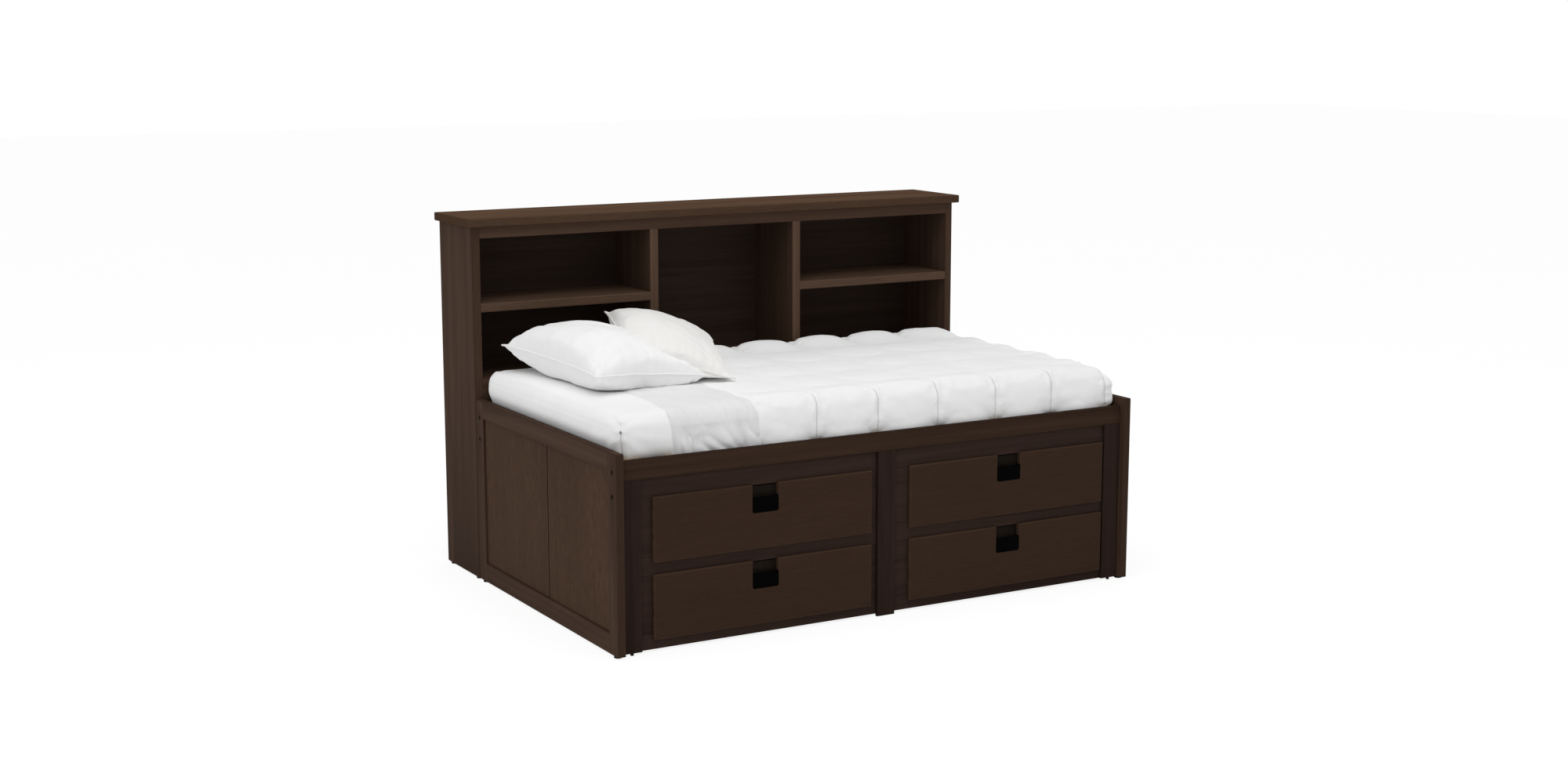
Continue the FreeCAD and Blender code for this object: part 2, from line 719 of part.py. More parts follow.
def notched_front(name, mid, top):
    """Drawer front: a lipped slab whose top edge has a finger notch with rounded corners."""
    body = doc.addObject("PartDesign::Body", name)
    plane = origin_plane(body, "XZ_Plane")
    half = size("front_wide") / 2
    high = size("front_high")
    notch = size("notch_wide") / 2
    deep = size("notch_deep")
    radius = size("pull_round")
    outline = body.newObject("Sketcher::SketchObject", name + "_outline")
    outline.AttachmentSupport = (plane, [""])
    outline.MapMode = "FlatFace"
    points = [
        V(-half, -high, 0),
        V(half, -high, 0),
        V(half, 0, 0),
        V(notch, 0, 0),
        V(notch, -deep + radius, 0),
        V(notch - radius, -deep, 0),
        V(-notch + radius, -deep, 0),
        V(-notch, -deep + radius, 0),
        V(-notch, 0, 0),
        V(-half, 0, 0),
    ]
    arcs = {
        4: (V(notch - radius, -deep + radius, 0), radius, -math.pi / 2, 0),
        6: (V(-notch + radius, -deep + radius, 0), radius, math.pi, 1.5 * math.pi),
    }
    closed_outline(outline, points, arcs)
    lip = body.newObject("PartDesign::Pad", name + "_lip")
    lip.Profile = outline
    lip.setExpression("Length", expand("front_thick"))
    lip.Reversed = False
    doc.recompute()
    lip_solid = lip.Shape.BoundBox
    front_first = lip_solid.YMin < -1e-6

    gap = size("plug_gap")
    plug_half = size("hole_wide") / 2 - gap
    plug_top = -size("front_over") - gap
    plug_low = plug_top - size("hole_high") + 2 * gap
    plug_sketch = body.newObject("Sketcher::SketchObject", name + "_plug_outline")
    plug_sketch.AttachmentSupport = (plane, [""])
    plug_sketch.MapMode = "FlatFace"
    points = [
        V(-plug_half, plug_low, 0),
        V(plug_half, plug_low, 0),
        V(plug_half, plug_top, 0),
        V(notch, plug_top, 0),
        V(notch, -deep + radius, 0),
        V(notch - radius, -deep, 0),
        V(-notch + radius, -deep, 0),
        V(-notch, -deep + radius, 0),
        V(-notch, plug_top, 0),
        V(-plug_half, plug_top, 0),
    ]
    closed_outline(plug_sketch, points, arcs)
    plug = body.newObject("PartDesign::Pad", name + "_plug")
    plug.Profile = plug_sketch
    plug.setExpression("Length", expand("front_plug"))
    plug.Reversed = front_first
    doc.recompute()

    face_y = lip_solid.YMin if front_first else lip_solid.YMax
    rims = []
    for number, edge in enumerate(plug.Shape.Edges, start=1):
        if all(abs(vertex.Point.y - face_y) < 1e-4 for vertex in edge.Vertexes):
            rims.append(f"Edge{number}")
    rim = body.newObject("PartDesign::Fillet", name + "_rim")
    rim.Base = (plug, rims)
    rim.setExpression("Radius", expand("soft"))
    body.Tip = rim
    doc.recompute()
    shift = size("front_thick") if front_first else 0
    face = -size("total_depth") / 2 + size("chest_face") - size("front_gap") - size("front_thick")
    body.Placement = FreeCAD.Placement(V(mid, face + shift, top), FreeCAD.Rotation())
    if not front_first:
        raise RuntimeError("the drawer front faces the wrong way")
    return body


def pull(name, mid, y, top):
    """Open-topped cup in the lower half of the notch, flush with the drawer front."""
    wide = size("notch_wide") - 0.4
    deep = size("front_thick") + size("front_plug")
    high = size("pull_high")
    wall = size("pull_wall")
    low = top - size("notch_deep") + 0.2
    outer = Part.makeBox(wide, deep, high, V(mid - wide / 2, y, low))
    corners = []
    for edge in outer.Edges:
        middle = edge.CenterOfMass
        at_side = abs(abs(middle.x - mid) - wide / 2) < 1e-4
        if at_side and abs(middle.z - low) < 1e-4:
            corners.append(edge)
    outer = outer.makeFillet(size("pull_round") - 0.2, corners)
    hollow = Part.makeBox(
        wide - 2 * wall,
        deep - wall,
        high,
        V(mid - wide / 2 + wall, y + wall, low + wall),
    )
    cup = doc.addObject("Part::Feature", name)
    cup.Shape = outer.cut(hollow)
    return cup


def drawer(side, level):
    mid = f"chest_{side}_mid"
    tag = f"drawer_{side}_{level}"
    top = size(f"{level}_hole") + size("hole_high") + size("front_over")
    front = notched_front(f"{tag}_front", size(mid), top)
    keep(front, f"{tag}_front")
    face = -size("total_depth") / 2 + size("chest_face") - size("front_gap") - size("front_thick")
    keep(pull(f"{tag}_pull", size(mid), face, top), f"{tag}_pull")

    back_of_front = f"({FRONT} + chest_face - front_gap + front_plug)"
    half = "(hole_wide / 2 - slide_gap)"
    low = f"{level}_hole + box_lift"
    walls = []
    for number, x in enumerate((f"{mid} - {half}", f"{mid} + {half} - box_wall")):
        walls.append(
            board(f"{tag}_wall_{number}", (x, back_of_front, low), ("box_wall", "box_deep", "box_high"))
        )
    across = f"2 * {half} - 2 * box_wall"
    for number, y in enumerate((back_of_front, f"{back_of_front} + box_deep - box_wall")):
        walls.append(
            board(
                f"{tag}_cross_{number}",
                (f"{mid} - {half} + box_wall", y, low),
                (across, "box_wall", "box_high"),
            )
        )
    walls.append(
        block(
            f"{tag}_floor",
            (f"{mid} - {half} + box_wall", f"{back_of_front} + box_wall", f"{low} + box_wall / 2"),
            (across, "box_deep - 2 * box_wall", "box_floor"),
        )
    )
    group(f"{tag}_box", walls)

    bars = []
    z = f"{slide_height(level)} + (slide_high - slide_bar) / 2"
    bar_y = f"{FRONT} + chest_face + face_thick"
    for number, x in enumerate((f"{mid} - {half} - slide_bar_thick", f"{mid} + {half}")):
        extent = ("slide_bar_thick", "slide_long", "slide_bar")
        bars.append(block(f"{tag}_bar_{number}", (x, bar_y, z), extent))
    group(f"{tag}_slides", bars)


# ---------------------------------------------------------------- bedding
def all_edges(base, name, radius):
    """Round every edge of a soft block."""
    return rounded(base, name, ease=radius)


def bedding():
    mattress_front = f"{FRONT} + quilt_front + quilt_thick"
    mattress_rear = f"{CASE_FRONT} - quilt_thick - ease"
    left = f"-{PANEL_INNER} + bed_clear"
    right = f"{PANEL_INNER} - quilt_thick - 5 * ease"
    mattress = block(
        "mattress_blank",
        (left, mattress_front, "bed_low + ease / 2"),
        (f"{right} - ({left})", f"{mattress_rear} - ({mattress_front})", "mattress_high"),
    )
    keep(all_edges(mattress, "mattress", "mattress_round"), "mattress")

    top = "bed_low + mattress_high + ease"
    drop_front = f"{FRONT} + quilt_front"
    quilt_end = f"{PANEL_INNER} - 4 * ease"
    quilt_back = f"{CASE_FRONT} - 2 * ease"
    upper = board(
        "duvet_top",
        ("quilt_start", drop_front, top),
        (f"{quilt_end} - quilt_start", f"{quilt_back} - ({drop_front})", "quilt_thick"),
    )
    drop_high = f"{top} - quilt_hem"
    front = board(
        "duvet_front_drop",
        ("quilt_start", drop_front, "quilt_hem"),
        (f"{quilt_end} - quilt_start", "quilt_thick - ease / 2", drop_high),
    )
    end = board(
        "duvet_end_drop",
        (f"{quilt_end} - quilt_thick", f"{drop_front} + quilt_thick", "quilt_hem"),
        ("quilt_thick", f"{quilt_back} - ({drop_front}) - quilt_thick", drop_high),
    )
    group("duvet", [upper, front, end])

    turn_x = "quilt_start - turn_wide"
    sheet_front = f"{drop_front} + quilt_thick / 2"
    over = block(
        "turn_top",
        (turn_x, sheet_front, top),
        ("turn_wide - ease", f"{quilt_back} - ({sheet_front})", "turn_thick"),
    )
    drop = block(
        "turn_drop",
        (turn_x, sheet_front, "quilt_hem"),
        ("turn_wide - ease", "turn_thick", drop_high),
    )
    group("turned_sheet", [over, drop])

    bed_top = size("bed_low") + size("mattress_high")
    pillow("pillow_front", "", V(-680, 24, bed_top + 105), FreeCAD.Rotation(4, 3, 0))
    pillow("pillow_rear", "rear_", V(-308, 24, bed_top + 104), FreeCAD.Rotation(3, 17, 0))


def pillow(name, prefix, centre, turn):
    """A plump pillow that tapers to its four edges; prefix picks its driving dimensions."""
    thick = f"{prefix}pillow_thick"
    tools = []
    for spin, across in (((1, 0, 0), f"{prefix}pillow_wide"), ((0, 1, 0), "pillow_long")):
        radius = f"({across} ^ 2 + {thick} ^ 2) / (4 * {thick})"
        axis = "y" if spin[0] else "x"
        for sign, face in ((1, "under"), (-1, "over")):
            roller = doc.addObject("Part::Cylinder", f"{name}_{axis}_{face}")
            roller.setExpression("Radius", expand(radius))
            roller.setExpression("Height", expand("2 * pillow_long"))
            start = -1 if axis == "x" else 1
            roller.Placement.Rotation = FreeCAD.Rotation(V(*spin), 90)
            roller.setExpression(f"Placement.Base.{axis}", expand(f"{start} * pillow_long"))
            roller.setExpression("Placement.Base.z", expand(f"{sign} * ({radius} - {thick} / 2)"))
            tools.append(roller)
    cushion = doc.addObject("Part::MultiCommon", name)
    cushion.Shapes = tools
    cushion.Placement = FreeCAD.Placement(centre, turn)
    keep(cushion, name)


# ---------------------------------------------------------------- build and export
bookcase()
for panel_side in SIDES:
    end_panel(panel_side)
bed_frame()
fixings()
for chest_side in SIDES:
    chest(chest_side)
    for drawer_level in ("lower", "upper"):
        drawer(chest_side, drawer_level)
bedding()
doc.recompute()

for obj in doc.Objects:
    for state in ("Invalid", "Error"):
        if state in obj.State:
            raise RuntimeError(f"{obj.Name} is {state}")
for obj in nodes:
    if obj.Shape.isNull() or not obj.Shape.isValid():
        raise RuntimeError(f"{obj.Label} has a bad shape")
os.makedirs("parts", exist_ok=True)
for obj in nodes:
    obj.Shape.exportStep(os.path.join("parts", obj.Label + ".step"))
print(len(nodes), "sub-parts written")
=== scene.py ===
import math

import bpy
from mathutils import Euler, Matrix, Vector, noise


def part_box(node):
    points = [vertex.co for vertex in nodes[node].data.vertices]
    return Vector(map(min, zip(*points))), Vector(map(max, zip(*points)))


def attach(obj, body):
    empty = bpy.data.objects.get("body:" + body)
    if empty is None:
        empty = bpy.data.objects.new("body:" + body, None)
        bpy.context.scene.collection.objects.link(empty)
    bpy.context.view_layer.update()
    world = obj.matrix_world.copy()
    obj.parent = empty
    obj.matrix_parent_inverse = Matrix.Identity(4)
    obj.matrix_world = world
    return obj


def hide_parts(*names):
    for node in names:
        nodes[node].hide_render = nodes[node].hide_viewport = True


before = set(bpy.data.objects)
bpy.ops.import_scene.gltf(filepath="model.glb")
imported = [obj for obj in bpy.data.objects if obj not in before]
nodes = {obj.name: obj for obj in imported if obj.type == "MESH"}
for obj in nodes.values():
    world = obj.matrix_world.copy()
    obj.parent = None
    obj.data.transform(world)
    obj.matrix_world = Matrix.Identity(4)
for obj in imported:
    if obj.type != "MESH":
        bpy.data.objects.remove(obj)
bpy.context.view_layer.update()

# Lines of the scene, in metres.
SEAM_GAP = 0.2345  # between the duvet's stitched lines that run across the bed
SEAM_X = [-0.251 + number * SEAM_GAP for number in range(6)]
SEAM_Y = [-0.520, -0.287, -0.053, 0.181]  # stitched lines along the bed
FOOT_SEAMS = [-0.600, -0.401, -0.185, 0.013, 0.205]  # dips of the edge over the foot end
DROP_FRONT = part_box("duvet")[0].y  # face of the duvet's drop at the front
CASE_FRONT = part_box("bookcase_divider_left")[0].y  # front edge of the dividers
BOARD_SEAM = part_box("end_left_front_stile")[0].y + 0.534  # joint between the end's boards

# Rounding of the bedding's edges, the same for mattress and folded sheet.
SHEET_BEND = 0.046
DUVET_BEND = 0.042

# Looks that several materials share.
GRAIN_STRETCH = 0.035
WOOD_GLOSS = 0.010
PLASTIC_GLOSS = 0.02
CLOTH_GLOSS = 0.25
THREAD_SCALE = 1500.0 / 6.283
BLACK_STAIN = (0.004, 0.003, 0.002, 1)


# ---------------------------------------------------------------- materials
class Graph:
    """A material's node tree with short calls for the nodes used here."""

    def __init__(self, name):
        self.material = bpy.data.materials.new(name)
        self.material.use_nodes = True
        self.tree = self.material.node_tree
        self.shader = self.tree.nodes["Principled BSDF"]

    def link(self, value, socket):
        if isinstance(value, bpy.types.NodeSocket):
            self.tree.links.new(value, socket)
        else:
            socket.default_value = value

    def add(self, kind, inputs=None, **settings):
        node = self.tree.nodes.new(kind)
        for key, value in settings.items():
            setattr(node, key, value)
        for key, value in (inputs or {}).items():
            self.link(value, node.inputs[key])
        return node

    def math(self, operation, first, second=0.0):
        node = self.add("ShaderNodeMath", {0: first, 1: second}, operation=operation)
        return node.outputs[0]

    def times(self, first, second):
        return self.math("MULTIPLY", first, second)

    def plus(self, first, second):
        return self.math("ADD", first, second)

    def minus(self, first, second):
        return self.math("SUBTRACT", first, second)

    def place(self):
        """The point's own coordinates on the piece."""
        return self.add("ShaderNodeTexCoord").outputs["Object"]

    def scaled(self, vector, x, y, z):
        node = self.add("ShaderNodeVectorMath", {0: vector, 1: (x, y, z)}, operation="MULTIPLY")
        return node.outputs[0]

    def noise(self, vector, scale, detail=3.0, rough=0.55, distortion=0.0):
        inputs = {
            "Vector": vector,
            "Scale": scale,
            "Detail": detail,
            "Roughness": rough,
            "Distortion": distortion,
        }
        return self.add("ShaderNodeTexNoise", inputs).outputs["Fac"]

    def spread(self, value, low, high, to_low=0.0, to_high=1.0):
        inputs = {"Value": value, 1: low, 2: high, 3: to_low, 4: to_high}
        return self.add("ShaderNodeMapRange", inputs).outputs[0]

    def mix(self, factor, first, second, blend="MIX"):
        node = self.add("ShaderNodeMix", data_type="RGBA", blend_type=blend)
        self.link(factor, node.inputs[0])
        self.link(first, node.inputs[6])
        self.link(second, node.inputs[7])
        return node.outputs[2]

    def bump(self, height, strength, distance, normal=None):
        inputs = {"Height": height, "Strength": strength, "Distance": distance}
        if normal is not None:
            inputs["Normal"] = normal
        return self.add("ShaderNodeBump", inputs).outputs["Normal"]

    def bands(self, vector, axis):
        """Threads that follow each other along one axis."""
        inputs = {"Vector": vector, "Scale": THREAD_SCALE, "Distortion": 0.4}
        node = self.add("ShaderNodeTexWave", inputs, wave_type="BANDS", bands_direction=axis)
        return node.outputs["Fac"]

    def surface(self, colour, roughness, normal, gloss):
        """Join the last nodes to the shader."""
        self.link(colour, self.shader.inputs["Base Color"])
        self.link(roughness, self.shader.inputs["Roughness"])
        self.link(normal, self.shader.inputs["Normal"])
        if gloss is not None:
            self.shader.inputs["Specular IOR Level"].default_value = gloss
        return self.material


def rgb(red, green, blue):
    """An 8-bit display colour as a linear one (the sRGB curve)."""
    linear = []
    for value in (red, green, blue):
        value /= 255
        linear.append(value / 12.92 if value <= 0.04045 else ((value + 0.055) / 1.055) ** 2.4)
    return (*linear, 1.0)


def tinted(colour, factor):
    """A colour made lighter or darker, opaque."""
    return [min(1.0, value * factor) for value in colour[:3]] + [1.0]


def stained_wood(name, along, dark, light, sheen, shift, gloss=0.03, shaded=1.0, groove=None):
    """Dark stained wood with its grain along 'x', 'y' or 'z'.

    sheen is the middle roughness and shift moves the pattern. shaded is the strength of
    the painted shade that darkens the wood behind the bookcase's front edge; groove is the Y
    of a joint where the stain has gathered.
    """
    graph = Graph(name)
    own = graph.place()
    depth = graph.add("ShaderNodeSeparateXYZ", {0: own}).outputs[1]
    offset = (shift, shift * 1.7, shift * 0.6)
    moved = graph.add("ShaderNodeVectorMath", {0: own, 1: offset}, operation="ADD")
    place = moved.outputs[0]
    stretch = [GRAIN_STRETCH if axis == along else 1 for axis in "xyz"]
    stretched = graph.scaled(place, *stretch)
    fine = graph.noise(stretched, 420.0, 4.0, 0.65)
    figure = graph.noise(stretched, 26.0, 5.0, 0.6, 0.6)
    wide = graph.scaled(place, *[0.35 if value < 1 else 1 for value in stretch])
    broad = graph.noise(wide, 3.2, 2.0)
    pores = graph.spread(graph.noise(stretched, 900.0, 2.0, 0.7), 0.60, 0.72)
    tone = graph.plus(graph.times(fine, 0.62), graph.times(figure, 0.16))
    tone = graph.plus(tone, graph.times(broad, 0.22))
    colour = graph.mix(graph.spread(tone, 0.34, 0.68), dark, light)
    colour = graph.mix(graph.times(pores, 0.45), colour, tinted(dark, 0.45))

    # Painted highlight: the sharp edges are lightened where they would catch the light.
    pointed = graph.add("ShaderNodeNewGeometry").outputs["Pointiness"]
    painted_edge_highlight = graph.spread(pointed, 0.515, 0.56)
    painted_edge_highlight = graph.times(painted_edge_highlight, graph.spread(figure, 0.35, 0.65, 0.15, 0.5))
    colour = graph.mix(painted_edge_highlight, colour, tinted(light, 1.9))

    if groove is not None:
        away = graph.math("ABSOLUTE", graph.minus(depth, groove))
        mottle = graph.noise(graph.scaled(place, 1, 1, 0.25), 95.0, 3.0, 0.7)
        colour = graph.mix(graph.spread(mottle, 0.42, 0.70, 0.0, 0.55), colour, dark)
        gathered = graph.spread(away, 0.0016, 0.0040, 0.9, 0.0)
        colour = graph.mix(gathered, colour, BLACK_STAIN)
    # Painted shade: the wood behind the bookcase's front edge is darkened by the factor shaded.
    if shaded < 1.0:
        inner = graph.spread(depth, CASE_FRONT + 0.003, CASE_FRONT + 0.012, 1.0, shaded)
        grey = graph.add("ShaderNodeCombineColor", {0: inner, 1: inner, 2: inner})
        colour = graph.mix(1.0, colour, grey.outputs[0], "MULTIPLY")

    roughness = graph.spread(fine, 0.3, 0.7, sheen - 0.05, sheen + 0.09)
    height = graph.minus(fine, graph.times(pores, 0.8))
    return graph.surface(colour, roughness, graph.bump(height, 0.22, 0.0006), gloss)


def moulded_plastic(name, value):
    """Black plastic with a faint cloud and a fine grain."""
    graph = Graph(name)
    place = graph.place()
    grain = graph.noise(place, 900.0, 2.0)
    cloud = graph.noise(place, 30.0, 2.0)
    colour = (value, value, value, 1)
    colour = graph.mix(cloud, colour, tinted(colour, 1.8))
    roughness = graph.spread(cloud, 0.3, 0.7, 0.54, 0.68)
    return graph.surface(colour, roughness, graph.bump(grain, 0.15, 0.0003), PLASTIC_GLOSS)


def coated_metal(name, colour, roughness):
    """Metal under an even coat of paint."""
    graph = Graph(name)
    place = graph.place()
    peel = graph.noise(place, 350.0, 3.0)
    cloud = graph.noise(place, 18.0, 3.0)
    painted = graph.mix(cloud, tinted(colour, 0.75), colour)
    roughness = graph.spread(peel, 0.3, 0.7, roughness - 0.08, roughness + 0.1)
    return graph.surface(painted, roughness, graph.bump(peel, 0.12, 0.0003), None)


def seam_shade_and_relief(graph, place, cloth, relief, first_seam, gap):
    """Stitched lines across X on the front drop: painted shade along them, and relief with puckers
    beside them.
    """
    along, depth = graph.add("ShaderNodeSeparateXYZ", {0: place}).outputs[:2]
    wander = graph.times(graph.minus(graph.noise(place, 30.0, 1.0), 0.5), 0.003)
    across = graph.plus(graph.plus(along, 10 * gap - first_seam), wander)
    away = graph.math("PINGPONG", across, gap / 2)
    front = graph.spread(depth, DROP_FRONT + 0.03, DROP_FRONT + 0.045, 1.0, 0.0)
    # Painted shade: a grey line along each stitched line, kept to the front drop.
    painted_seam_shade = graph.times(graph.spread(away, 0.0007, 0.0030, 1.0, 0.0), front)
    cloth = graph.mix(graph.times(painted_seam_shade, 0.38), cloth, rgb(150, 150, 152))
    valley = graph.math("POWER", graph.spread(away, 0.0, 0.010), 0.5)
    pucker = graph.noise(graph.scaled(place, 0.25, 1, 1), 75.0, 1.0)
    close = graph.spread(away, 0.004, 0.040, 1.0, 0.0)
    height = graph.plus(valley, graph.times(pucker, graph.times(close, 0.8)))
    return cloth, graph.bump(graph.times(height, front), 0.55, 0.004, relief)


def corner_seam_shadow(graph, place, cloth, relief, corner):
    """The fitted sheet's seam down the corner at the head end: a painted shadow line down it, a
    painted dark spot of shadow at its upper end, and a bump beside it.
    """
    corner_x, corner_y, top = corner
    along, depth, up = graph.add("ShaderNodeSeparateXYZ", {0: place}).outputs[:3]
    aside = graph.minus(graph.minus(along, corner_x), graph.minus(depth, corner_y))
    wander = graph.times(graph.minus(graph.noise(place, 25.0, 1.0), 0.5), 0.008)
    away = graph.math("ABSOLUTE", graph.plus(aside, wander))
    below = graph.spread(up, top - 0.050, top - 0.040, 1.0, 0.0)
    at_head = graph.spread(along, corner_x + 0.03, corner_x + 0.05, 1.0, 0.0)
    region = graph.times(below, at_head)
    # Painted shadow: a dark line down the seam and a dark spot at its upper end.
    line = graph.times(graph.spread(away, 0.0008, 0.0034, 1.0, 0.0), region)
    painted_spot_shadow = graph.math("ABSOLUTE", graph.minus(up, top - 0.052))
    painted_spot_shadow = graph.plus(graph.times(painted_spot_shadow, 0.7), graph.times(away, 0.9))
    painted_spot_shadow = graph.times(graph.spread(painted_spot_shadow, 0.0035, 0.0075, 1.0, 0.0), at_head)
    dark = graph.math("MAXIMUM", graph.times(line, 0.32), graph.times(painted_spot_shadow, 0.8))
    cloth = graph.mix(dark, cloth, rgb(96, 96, 98))
    lip = graph.times(graph.spread(away, 0.0, 0.008), region)
    return cloth, graph.bump(lip, 0.5, 0.004, relief)


def cotton(name, colour, shade, seams=None, corner=None):
    """Plain-woven cotton: fine threads, faint slubs, soft creases and, if given, seams with
    painted shade along them.
    """
    graph = Graph(name)
    place = graph.place()
    warp, weft, fill = [graph.bands(place, axis) for axis in "XYZ"]
    threads = graph.times(graph.plus(graph.plus(warp, weft), fill), 0.333)
    slubs = graph.noise(graph.scaled(place, 1, 0.12, 0.5), 260.0, 2.0)
    soft = graph.noise(place, 7.0, 3.0, 0.5, 0.8)
    creases = graph.noise(graph.scaled(place, 1, 0.55, 0.8), 22.0, 2.0, 0.45, 1.2)
    tone = graph.plus(graph.times(threads, 0.25), graph.times(slubs, 0.35))
    tone = graph.plus(tone, graph.times(soft, 0.45))
    cloth = graph.mix(graph.spread(tone, 0.3, 0.75), shade, colour)
    relief = graph.bump(creases, 0.125, 0.006)
    if seams:
        cloth, relief = seam_shade_and_relief(graph, place, cloth, relief, *seams)
    if corner:
        cloth, relief = corner_seam_shadow(graph, place, cloth, relief, corner)
    graph.shader.inputs["Sheen Weight"].default_value = 0.12
    graph.shader.inputs["Sheen Roughness"].default_value = 0.4
    roughness = graph.spread(soft, 0.3, 0.7, 0.82, 0.95)
    return graph.surface(cloth, roughness, graph.bump(threads, 0.12, 0.0004, relief), CLOTH_GLOSS)


STAINS = {
    "frame": (rgb(54, 40, 32), rgb(69, 53, 43)),
    "top": (rgb(65, 48, 37), rgb(84, 65, 51)),
    "board": (rgb(62, 46, 36), rgb(90, 69, 55)),
    "front": (rgb(54, 40, 31), rgb(64, 48, 38)),
    "rail": (rgb(44, 32, 25), rgb(54, 40, 31)),
    "post": (rgb(33, 25, 21), rgb(43, 32, 28)),
    "face": (rgb(38, 28, 25), rgb(50, 38, 33)),
}
WHITE = rgb(250, 250, 250)
WHITE_SHADE = rgb(244, 244, 244)

wood = {}
for number, (stain, (dark, light)) in enumerate(STAINS.items()):
    for axis in "xyz":
        key = f"{stain}_{axis}"
        gloss = 0.0 if stain == "top" else WOOD_GLOSS
        wood[key] = stained_wood(f"espresso_{key}", axis, dark, light, 0.5, number * 3.1, gloss)
wood["shelf_x"] = stained_wood("espresso_shelf", "x", rgb(74, 57, 46), rgb(94, 74, 60), 0.6, 6.0)
wood["boards_z"] = stained_wood(
    "espresso_boards", "z", *STAINS["board"], 0.5, 9.0, WOOD_GLOSS, groove=BOARD_SEAM)
wood["divider_z"] = stained_wood(
    "espresso_divider", "z", rgb(66, 50, 40), rgb(82, 64, 52), 0.5, 7.0, WOOD_GLOSS, 0.72)
wood["inside_x"] = stained_wood("espresso_inside", "x", rgb(42, 32, 28), rgb(53, 42, 36), 0.6, 5.0)
wood["carcass_y"] = stained_wood("carcass_board", "y", rgb(19, 15, 12), rgb(30, 24, 19), 0.6, 2.0)
wood["pine_y"] = stained_wood("slat_pine", "y", rgb(168, 128, 84), rgb(206, 168, 120), 0.6, 4.0)
plastic = moulded_plastic("pull_plastic", 0.0004)
glide_plastic = moulded_plastic("glide_plastic", 0.012)
blacked = coated_metal("black_bolt", (0.0015, 0.0015, 0.0015, 1), 0.55)
enamel = coated_metal("slide_enamel", (0.62, 0.60, 0.55, 1), 0.42)
mattress_low, mattress_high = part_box("mattress")
head_corner = (mattress_low.x, mattress_low.y, mattress_high.z)
white_cotton = cotton("white_cotton", WHITE, WHITE_SHADE)
cream_cotton = cotton("cream_cotton", rgb(246, 245, 243), rgb(238, 237, 234))
grey_cotton = cotton("grey_cotton", rgb(240, 240, 240), rgb(227, 227, 228))
fitted_cotton = cotton("fitted_cotton", WHITE, WHITE_SHADE, corner=head_corner)
quilt_cotton = cotton("quilt_cotton", WHITE, WHITE_SHADE, seams=(SEAM_X[0], SEAM_GAP))

GRAIN = {
    "bookcase_top": "top_x",
    "bookcase_side_left": "frame_z",
    "bookcase_side_right": "frame_z",
    "bookcase_rear_stiles": "frame_z",
    "bookcase_top_rail": "frame_x",
    "bookcase_sill_rail": "frame_x",
    "bookcase_bay_floor": "frame_x",
    "bookcase_divider_left": "divider_z",
    "bookcase_divider_right": "divider_z",
    "bookcase_shelves": "shelf_x",
    "case_dowels": "pine_y",
    "bookcase_back_upper": "inside_x",
    "bookcase_back_lower": "inside_x",
    "front_rail": "rail_x",
    "centre_post": "post_z",
    "corner_posts": "post_z",
    "rear_rail": "frame_x",
    "slat_ledgers": "rail_x",
    "slats": "pine_y",
}


def paint(node, material):
    mesh = nodes[node].data
    mesh.materials.clear()
    mesh.materials.append(material)


for name, material in GRAIN.items():
    paint(name, wood[material])
for name in nodes:
    if name.startswith("end_"):
        kind = "boards_z" if name.endswith("_boards") else "frame_z"
        paint(name, wood["frame_y" if name.endswith("_rails") else kind])
    if name.startswith("drawer_") and name.endswith("_front"):
        paint(name, wood["front_x"])
    if name.endswith("_face_frame"):
        paint(name, wood["face_x"])
    if name.endswith(("_box", "_sides", "_back")) or name in ("chest_left_top", "chest_right_top"):
        paint(name, wood["carcass_y"])
    if name.endswith("_pull"):
        paint(name, plastic)
    if name.endswith("_slides"):
        paint(name, enamel)
paint("bed_bolts", blacked)
paint("glides", glide_plastic)


# ---------------------------------------------------------------- mesh helpers
def solid(name, points, faces, material):
    """A smooth-shaded object from points and faces."""
    mesh = bpy.data.meshes.new(name)
    mesh.from_pydata(points, [], faces)
    mesh.update()
    piece = bpy.data.objects.new(name, mesh)
    bpy.context.scene.collection.objects.link(piece)
    mesh.materials.append(material)
    mesh.shade_smooth()
    return piece


def box_skin(low, high, radius, step, sides):
    """Points and faces of a rounded box, keeping only the named sides."""
    points = {}
    faces = []
    spans = [max(2, round((high[i] - low[i]) / step)) for i in range(3)]

    def corner(cell):
        if cell not in points:
            raw = Vector(low[i] + (high[i] - low[i]) * cell[i] / spans[i] for i in range(3))
            inner = Vector(min(max(raw[i], low[i] + radius), high[i] - radius) for i in range(3))
            out = raw - inner
            place = inner + out.normalized() * radius if out.length > radius else raw
            points[cell] = (len(points), place)
        return points[cell][0]

    for side in sides:
        axis = "xyz".index(side[0])
        fixed = spans[axis] if side[1] == "+" else 0
        first, second = [i for i in range(3) if i != axis]
        flip = (side[1] == "+") == (axis == 1)
        for i in range(spans[first]):
            for j in range(spans[second]):
                loop = []
                for di, dj in ((0, 0), (1, 0), (1, 1), (0, 1)):
                    cell = [0, 0, 0]
                    cell[axis] = fixed
                    cell[first] = i + di
                    cell[second] = j + dj
                    loop.append(corner(tuple(cell)))
                faces.append(loop[::-1] if flip else loop)
    ordered = [place for _, place in sorted(points.values(), key=lambda pair: pair[0])]
    return ordered, faces


